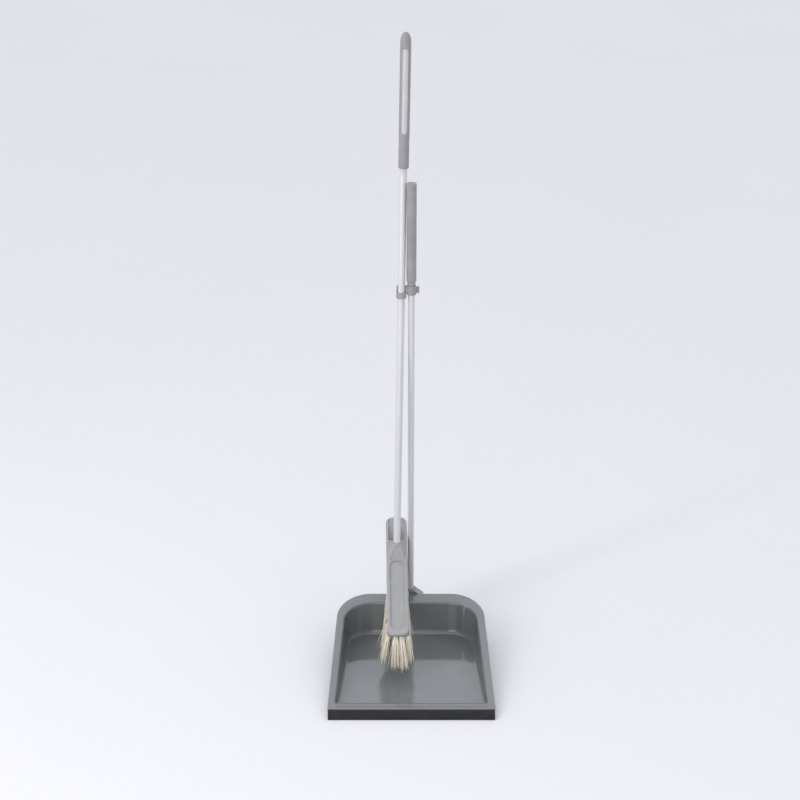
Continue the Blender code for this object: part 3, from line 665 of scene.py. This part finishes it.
def make_pan_pole():
    matrix, low, high = straight_frame("pan_pole")
    inner = PAN_POLE_RADIUS - MILLIMETRE
    pole = tube("upright_pole", PAN_POLE_RADIUS, inner, low.z, high.z, matrix)
    return stand_for(pole, "dustpan", "pan_pole")


def make_pan_grip():
    """A closed sleeve with a rounded crown, a fine groove and a thinner neck."""
    matrix, low, high = straight_frame("pan_grip")
    radius = (high.x - low.x) / 2
    bore = PAN_POLE_RADIUS + GAP
    bore_top = PAN_POLE_HIGH.z + GAP
    neck_top = low.z + 0.0065
    groove = neck_top + 0.043
    edge = 0.0022
    turns = [radians(90 - 90 * k / 6) for k in range(7)]
    profile = [(0, high.z)]
    profile += [(radius - edge + edge * cos(t), high.z - edge + edge * sin(t)) for t in turns]
    sides = (  # how far in from the grip's radius, and the height
        (0, groove + 0.0008),
        (0.0004, groove + 0.0002),
        (0.0004, groove - 0.0002),
        (0, groove - 0.0008),
        (0, neck_top + 0.0008),
        (0.0003, neck_top + 0.0002),
        (0.0008, neck_top),
        (0.0014, neck_top),
        (0.0014, low.z + 0.0003),
        (0.0017, low.z),
    )
    profile += [(radius - inset, height) for inset, height in sides]
    profile += [(bore, low.z), (bore, bore_top), (0, bore_top)]
    return stand_for(turned("upright_grip", profile, FINE, matrix), "dustpan", "pan_grip")


def make_screw():
    """A domed head with a cross recess on a plain shank; its axis runs along Y."""
    low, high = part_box("pan_pole_screw")
    radius = (high.x - low.x) / 2
    shank = radius / 2
    seat = 0.0024
    tip = 0.001
    half, wide, depth = 0.0016, 0.0004, 0.0013  # of an arm of the recess; the first two are halves
    above = 0.001
    length = high.y - low.y
    matrix = Matrix.Translation(((low.x + high.x) / 2, high.y, (low.z + high.z) / 2))
    matrix = matrix @ Matrix.Rotation(-pi / 2, 4, "X")
    turns = [radians(90 * k / 10) for k in range(11)]
    dome = [(radius * sin(t), -seat + seat * cos(t)) for t in turns]
    profile = dome + [(shank, -seat), (shank, tip - length), (0, -length)]
    screw = turned("socket_screw", profile, 48, matrix)
    arms = []
    for turn in (0, pi / 2):
        spin = matrix @ Matrix.Rotation(turn, 4, "Z")
        arm = [(-half, -wide), (half, -wide), (half, wide), (-half, wide)]
        arms.append(plate("cross", arm, -depth, above, spin))
    combine(screw, "DIFFERENCE", *arms)
    return stand_for(screw, "dustpan", "pan_pole_screw")


# --- Brush --------------------------------------------------------------------------------


BRUSH_FRAME, BRUSH_LENGTH = pole_frame("brush_pole")
BRUSH_UP = BRUSH_FRAME.col[2].to_3d()
BRUSH_RADIUS = 0.006


def up_pole(height):
    """Distance along the brush pole from its foot to a world height."""
    return (height - BRUSH_FRAME.translation.z) / BRUSH_UP.z


def make_brush_pole():
    """The tube with the fine rings rolled in it just under the grip."""
    grip_low = up_pole(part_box("brush_grip_skin")[0].z)
    below, pitch, count = 0.002, 0.0026, 4  # of the rings, under the grip
    # one ring's profile: height from its middle, and depth
    dip = ((0.0006, 0), (0.0003, 0.00018), (0, 0.00025), (-0.0003, 0.00018), (-0.0006, 0))
    inner = BRUSH_RADIUS - MILLIMETRE
    side = BRUSH_RADIUS - ROUND_OFF
    profile = [(side, BRUSH_LENGTH), (BRUSH_RADIUS, BRUSH_LENGTH - ROUND_OFF)]
    for k in range(count):
        place = grip_low - below - pitch * k
        profile += [(BRUSH_RADIUS - depth, place + rise) for rise, depth in dip]
    profile += [(BRUSH_RADIUS, ROUND_OFF), (side, 0)]
    profile += [(inner, 0), (inner, BRUSH_LENGTH)]
    pole = turned("leaning_pole", profile, matrix=BRUSH_FRAME, closed=True)
    return stand_for(pole, "brush", "brush_pole")


GRIP_LENGTH = 0.2205
GRIP_HALF = (0.00885, 0.0112)  # width, depth
GRIP_SKIN = 0.0014
GRIP_START = 0.0005  # up the pole, from the grip's lowest point to the middle of its foot
GRIP_CAP = 0.0235  # from the end of the bore to the grip's top
GRIP_DOME = 0.018
GRIP_SIDES = (  # how far in from the grip's radius, and the height
    (0, 0.0530),
    (0.0002, 0.0500),
    (0.0005, 0.0460),
    (0.0004, 0.0420),
    (0.0002, 0.0390),
    (0.0002, 0.0016),
    (0.0005, 0.0005),
    (0.0012, 0),
)
WINDOW = (0.0575, 0.1380, 0.0104)  # low, length, width
INLAY_START = 0.0072  # in front of the grip's axis, as are the next two
WINDOW_START = 0.0068
WINDOW_END = 0.02


def grip_profile(shrink, low):
    """Half the grip's outline, drawn in by shrink and cut off below low."""
    radius = GRIP_HALF[0]
    bottom = GRIP_LENGTH - GRIP_DOME
    blunt = 0.86
    middle = 0.1
    steps = 24
    outline = [(0, GRIP_LENGTH)]
    for step in range(1, steps + 1):
        turn = radians(90 - 90 * step / steps)
        outline.append((radius * cos(turn) ** blunt, bottom + GRIP_DOME * sin(turn)))
    outline += [(radius - inset, height) for inset, height in GRIP_SIDES]
    shrunk = [(max(r - shrink, 0), z if z < middle else z - shrink) for r, z in outline]
    kept = [(r, z) for r, z in shrunk if z >= low]
    return kept + [(kept[-1][0], low), (0, low)]


def grip_form(name, shrink, low, grip):
    deep = (GRIP_HALF[1] - shrink) / (GRIP_HALF[0] - shrink)
    profile = grip_profile(shrink, low)
    clean = [profile[0]] + [p for before, p in zip(profile, profile[1:]) if p != before]
    return turned(name, clean, 128, grip, deep)


def window_slot(name, width, length, near, grip):
    """A cutter with the window's round-ended outline, from near in front of the axis outwards."""
    middle = WINDOW[0] + WINDOW[1] / 2
    outline = rounded(width, middle - length / 2, middle + length / 2, width / 2)
    face = Matrix(((1, 0, 0, 0), (0, 0, -1, 0), (0, 1, 0, 0), (0, 0, 0, 1)))
    return plate(name, outline, near, WINDOW_END, grip @ face)


def make_brush_grip():
    """A glossy core, and a matt skin round it with a long window at the front."""
    start = up_pole(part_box("brush_grip_skin")[0].z) + GRIP_START
    grip = BRUSH_FRAME @ Matrix.Translation((0, 0, start))
    foot = 0.0012
    below = -0.01
    _, length, width = WINDOW
    bore_radius = BRUSH_RADIUS + GAP
    bore_top = GRIP_LENGTH - GRIP_CAP
    core = grip_form("grip_core", GRIP_SKIN + GAP, foot, grip)
    inlay = grip_form("inlay", GAP, 0.0, grip)
    slot = window_slot("slot", width - 2 * GAP, length - 2 * GAP, INLAY_START, grip)
    combine(inlay, "INTERSECT", slot)
    combine(core, "UNION", inlay)
    combine(core, "DIFFERENCE", cone("bore", bore_radius, bore_radius, below, bore_top, grip))
    skin = grip_form("grip_skin", 0.0, 0.0, grip)
    combine(skin, "DIFFERENCE", grip_form("hollow", GRIP_SKIN, foot, grip))
    combine(skin, "DIFFERENCE", window_slot("window", width, length, WINDOW_START, grip))
    combine(skin, "DIFFERENCE", cone("bore", bore_radius, bore_radius, below, bore_top, grip))
    for piece in (core, skin):
        piece.data.shade_smooth()
        piece.data.set_sharp_from_angle(angle=radians(SHARP))
    stand_for(core, "brush", "brush_grip_core")
    stand_for(skin, "brush", "brush_grip_skin")


def copy_of(node, name):
    """A fresh object with the shape of a CAD node, to be worked on."""
    source = frame["nodes"][node]
    bm = bmesh.new()
    bm.from_mesh(source.data)
    bmesh.ops.remove_doubles(bm, verts=bm.verts, dist=0.00001)
    return new_object(name, bm)


def make_clip():
    clip = copy_of("pole_clip", "clip")
    soften(clip, *CLIP_SOFTNESS)
    return stand_for(clip, "brush", "pole_clip")


def head_turn():
    forward = Vector((-HEAD_SKEW, cos(HEAD_TILT), sin(HEAD_TILT))).normalized()
    normal = Vector((0, -sin(HEAD_TILT), cos(HEAD_TILT)))
    across = forward.cross(normal).normalized()
    return Matrix((across, forward, across.cross(forward))).transposed().to_4x4()


def head_place():
    """The head's frame: its turn is as designed, and its place is read from the CAD head."""
    turn = head_turn()
    inverse = turn.to_3x3().inverted()
    local = np.array([inverse @ v.co for v in frame["nodes"]["brush_head"].data.vertices])
    middle_x = (local[:, 0].min() + local[:, 0].max()) / 2
    return turn @ Matrix.Translation((middle_x, local[:, 1].min(), local[:, 2].min()))


HEAD = head_place()


def wedge_under_toe():
    """A cutter for the toe's sloping underside."""
    back, high = TOE_UNDERCUT
    beyond = 0.005
    slope = high / back
    outline = [(-beyond, -beyond), (back + beyond / slope, -beyond)]
    outline.append((-beyond, high + beyond * slope))
    sideways = HEAD @ Matrix(((0, 0, 1, 0), (1, 0, 0, 0), (0, 1, 0, 0), (0, 0, 0, 1)))
    return plate("wedge", outline, -HEAD_WIDTH, HEAD_WIDTH, sideways)


def socket_ramp(boss):
    """The hull of the front half of the socket's rim and a wide foot beside the panel."""
    bm = bmesh.new()
    rim = HEAD.inverted() @ boss @ Matrix.Translation((0, 0, BOSS_RISE - RAMP_SINK))
    for turn in range(180, 361, 15):
        spot = Vector((cos(radians(turn)), sin(radians(turn)), 0)) * BOSS_RADII[1]
        bm.verts.new(rim @ spot)
    middle = rim.translation.y
    foot = PANEL[1] + RAMP_GAP
    rooted = 0.002
    for side in (-1, 1):
        for low in (RAMP_SINK, rooted):
            bm.verts.new((side * RAMP_WIDTH / 2, foot, HEAD_THICKNESS - low))
            bm.verts.new((side * RAMP_WIDTH / 2, middle, HEAD_THICKNESS - low))
    bmesh.ops.convex_hull(bm, input=bm.verts)
    bmesh.ops.recalc_face_normals(bm, faces=bm.faces)
    return new_object("ramp", bm, HEAD)


def ramp_hollow(boss):
    """A cutter whose underside lies a little below the ramp's sloping face, between its ridges."""
    rim = HEAD.inverted() @ boss @ Matrix.Translation((0, 0, BOSS_RISE))
    front = rim @ Vector((0, -BOSS_RADII[1], 0))
    foot = Vector((0, PANEL[1] + RAMP_GAP, HEAD_THICKNESS))
    run = front - foot
    rise = Vector((0, -run.z, run.y)).normalized()
    start, end = -0.02, 0.86  # shares of the run
    above = 0.01
    low = RAMP_WIDTH / 2 - RAMP_RIDGE
    high = BOSS_RADII[1] * RAMP_TOP_SHARE - RAMP_RIDGE
    bm = bmesh.new()
    for spot, half in ((foot + run * start, low), (foot + run * end, high)):
        for side in (-1, 1):
            for level in (-RAMP_HOLLOW, above):
                bm.verts.new(spot + rise * level + Vector((side * half, 0, 0)))
    bmesh.ops.convex_hull(bm, input=bm.verts)
    bmesh.ops.recalc_face_normals(bm, faces=bm.faces)
    return new_object("ramp_hollow", bm, HEAD)


def make_head():
    """The moulded block: undercut toe, recess, pockets, pole socket and a hole for each tuft."""
    outline = rounded(HEAD_WIDTH, 0, HEAD_LENGTH, HEAD_CORNER, steps=24)
    body = plate("head", outline, 0, HEAD_THICKNESS, HEAD)
    use(body, "BEVEL", width=HEAD_EDGE, segments=5, limit_method="ANGLE", angle_limit=radians(50))
    apply_all(body)
    above = HEAD_THICKNESS + 0.01
    start, end, width, depth = PANEL
    outline = rounded(width, start, end, width * PANEL_CORNER)
    panel = plate("panel", outline, HEAD_THICKNESS - depth, above, HEAD)
    start, end, width, depth = POCKET
    outline = rounded(width, start - end, 0, POCKET_CORNER)
    above_pocket = 0.012
    pockets = []
    for side in (-1, 1):
        far_end = HEAD @ Matrix.Translation((side * POCKET_OFFSET, end, HEAD_THICKNESS))
        tilted = far_end @ Matrix.Rotation(POCKET_SLOPE, 4, "X")
        pockets.append(plate("pocket", outline, -depth, above_pocket, tilted))
    combine(body, "DIFFERENCE", panel, wedge_under_toe(), *pockets)
    under_pole = 0.0005
    above_boss = 0.04
    place = BRUSH_FRAME.copy()
    place.translation = BRUSH_FRAME.translation - BRUSH_UP * under_pole
    boss = cone("boss", BOSS_RADII[0], BOSS_RADII[1], BOSS_FOOT, BOSS_RISE, place)
    radius = BRUSH_RADIUS + GAP
    bore = cone("bore", radius, radius, BOSS_FOOT, above_boss, place)
    combine(body, "UNION", boss, socket_ramp(place))
    combine(body, "DIFFERENCE", ramp_hollow(place), bore)
    soften(body, *HEAD_SOFTNESS)
    combine(body, "DIFFERENCE", tuft_holes())
    return stand_for(body, "brush", "brush_head")


def tuft_holes():
    """All the drilled holes as one cutter, which starts a little under the head."""
    under = 0.002
    bm = bmesh.new()
    for across in ROWS:
        for spot in tuft_spots(across):
            place = Matrix.Translation((across, spot, HOLE_DEPTH / 2 - under / 2))
            bmesh.ops.create_cone(
                bm, cap_ends=True, segments=20, radius1=HOLE_RADIUS, radius2=HOLE_RADIUS,
                depth=HOLE_DEPTH + under, matrix=place,
            )
    return new_object("holes", bm, HEAD)


def tuft_spots(across):
    """Places of one row's tufts along the head; the outer rows stand half a pitch further back."""
    first = TUFT_START + TUFT_RADIUS
    pitch = (TUFT_END - TUFT_RADIUS - first) / (TUFTS - 0.5)
    shift = 0.5 if across in (ROWS[0], ROWS[-1]) else 0.0
    return [first + pitch * (k + shift) for k in range(TUFTS)]


def strand_paths(across, spot, random):
    """Centre lines of one tuft's filaments, root first, in the head's frame.

    The filaments stand in locks, evenly spaced over the hole, that spread apart towards their tips.
    A few filaments stray from their lock.
    """
    worn = max(0.0, 1 - spot / FLARE_END)
    middle = np.array([across, spot])
    fan = tan(TOE_FAN * max(0.0, 1 - (spot - TUFT_START) / TOE_FAN_REACH))
    lean = np.array([ROW_FLARE[ROWS.index(across)] * worn, -fan * STRAND_LENGTH])
    spread = np.array([FAR_SPREAD + (1 - FAR_SPREAD) * worn, 1.0])
    places = np.arange(LOCKS) + 0.5
    turns = places * GOLDEN_TURN + random.uniform(0, 2 * pi)
    locks = np.column_stack((np.cos(turns), np.sin(turns))) * np.sqrt(places / LOCKS)[:, None]
    locks += random.normal(0, LOCK_JITTER, locks.shape)
    cuts = random.uniform(SHORTEST_LOCK, 1.0, LOCKS)
    shares = np.linspace(0, 1, STRAND_STEPS)
    paths = []
    for _ in range(STRANDS):
        number = random.integers(LOCKS)
        loose = STRAY_WIDTH if random.uniform() < STRAY_SHARE else LOCK_WIDTH
        root = middle + locks[number] * LOCK_ROOT
        root += random.uniform(-ROOT_JITTER, ROOT_JITTER, 2)
        tip = middle + lean + locks[number] * LOCK_SPREAD * spread
        tip += random.normal(0, loose, 2).clip(-2 * loose, 2 * loose) * spread
        tip[1] = min(tip[1], FAR_TIP)
        length = STRAND_LENGTH * cuts[number] * random.uniform(SHORTEST_STRAND, 1.0)
        bow = random.normal(0, BOW, 2)
        lines = []
        for share in shares:
            sideways = root + (tip - root) * share**SPLAY + bow * sin(pi * share)
            depth = ROOT_DEPTH * (1 - share) - length * share
            lines.append((sideways[0], sideways[1], depth))
        paths.append(np.array(lines))
    return paths


def strand_tubes(paths):
    """Closed three-sided tubes along the paths: their corners, and their faces."""
    corners = []
    faces = []
    for path in paths:
        base = len(corners)
        count = len(path)
        for number, spot in enumerate(path):
            size = STRAND_RADIUS * (1 - (1 - STRAND_TAPER) * number / (count - 1))
            for k in range(3):
                turn = 2 * pi * k / 3
                corners.append((spot[0] + size * cos(turn), spot[1] + size * sin(turn), spot[2]))
        for ring in range(count - 1):
            for k in range(3):
                a = base + ring * 3 + k
                b = base + ring * 3 + (k + 1) % 3
                faces.append((a, a + 3, b + 3, b))
        faces.append((base, base + 1, base + 2))
        last = base + (count - 1) * 3
        faces.append((last + 2, last + 1, last))
    return corners, faces


def make_bristles():
    """One piece a row; the rows draw in turn from one seeded source."""
    random = np.random.default_rng(SEED)
    for number, across in enumerate(ROWS, 1):
        paths = []
        for spot in tuft_spots(across):
            paths += strand_paths(across, spot, random)
        corners, faces = strand_tubes(paths)
        mesh = bpy.data.meshes.new(f"bristles_{number}")
        mesh.from_pydata(corners, [], faces)
        mesh.transform(HEAD)
        mesh.shade_smooth()
        obj = bpy.data.objects.new(f"bristles_{number}", mesh)
        bpy.context.scene.collection.objects.link(obj)
        stand_for(obj, "brush", f"bristle_row_{number}")


# --- Stage --------------------------------------------------------------------------------


def make_floor():
    bm = bmesh.new()
    bmesh.ops.create_grid(bm, x_segments=1, y_segments=1, size=FLOOR_HALF)
    floor = new_object("studio_floor", bm, Matrix.Translation((0, 0, FLOOR_LEVEL)))
    paint = Paint("studio_floor", 0.9)
    paint.shader.inputs["Specular IOR Level"].default_value = 0.1
    mottled(paint, (0.640, 0.632, 0.645), 0.006, 1.2)
    floor.data.materials.append(paint.made)


def make_world():
    """A pale room: bright overhead and behind the set, dimmer behind the camera."""
    world = bpy.data.worlds.new("studio")
    bpy.context.scene.world = world
    world.use_nodes = True
    nodes = world.node_tree.nodes
    links = world.node_tree.links
    place = nodes.new("ShaderNodeTexCoord")
    towards = nodes.new("ShaderNodeVectorMath")
    towards.operation = "DOT_PRODUCT"
    towards.inputs[1].default_value = ROOM_BRIGHT_WAY
    ramp = nodes.new("ShaderNodeValToRGB")
    ramp.color_ramp.elements[0].position = 0.0
    ramp.color_ramp.elements[0].color = ROOM_DIM
    ramp.color_ramp.elements[1].position = ROOM_BRIGHT_FROM
    ramp.color_ramp.elements[1].color = ROOM_BRIGHT
    links.new(place.outputs["Generated"], towards.inputs[0])
    links.new(towards.outputs["Value"], ramp.inputs["Fac"])
    links.new(ramp.outputs["Color"], nodes["Background"].inputs["Color"])
    nodes["Background"].inputs["Strength"].default_value = 1.0


def softbox(name, azimuth, distance, height, width, tall, power):
    """A rectangular light that faces the brush; azimuth 0 is in front and 90 is on the right."""
    data = bpy.data.lights.new(name, "AREA")
    data.shape = "RECTANGLE"
    data.size = width
    data.size_y = tall
    data.energy = power
    light = bpy.data.objects.new(name, data)
    turn = radians(azimuth)
    light.location = (distance * sin(turn), -distance * cos(turn), height)
    aim = Vector(LIGHT_AIM) - light.location
    light.rotation_euler = aim.to_track_quat("-Z", "Y").to_euler()
    bpy.context.scene.collection.objects.link(light)


def make_camera():
    data = bpy.data.cameras.new("camera")
    data.lens = LENS
    data.sensor_width = SENSOR
    camera = bpy.data.objects.new("camera", data)
    camera.location = CAMERA_PLACE
    camera.rotation_euler = (CAMERA_PITCH, 0, 0)
    bpy.context.scene.collection.objects.link(camera)
    bpy.context.scene.camera = camera


make_camera()
make_world()
make_floor()
for box in SOFTBOXES:
    softbox(*box)
bpy.context.scene.view_settings.view_transform = "Standard"

make_tray()
make_lip()
make_pan_pole()
make_pan_grip()
make_screw()
make_brush_pole()
make_brush_grip()
make_clip()
make_head()
make_bristles()

plug = frame["nodes"]["brush_pole_thread_plug"]
plug.data.materials.clear()
plug.data.materials.append(PAINTS["head"])
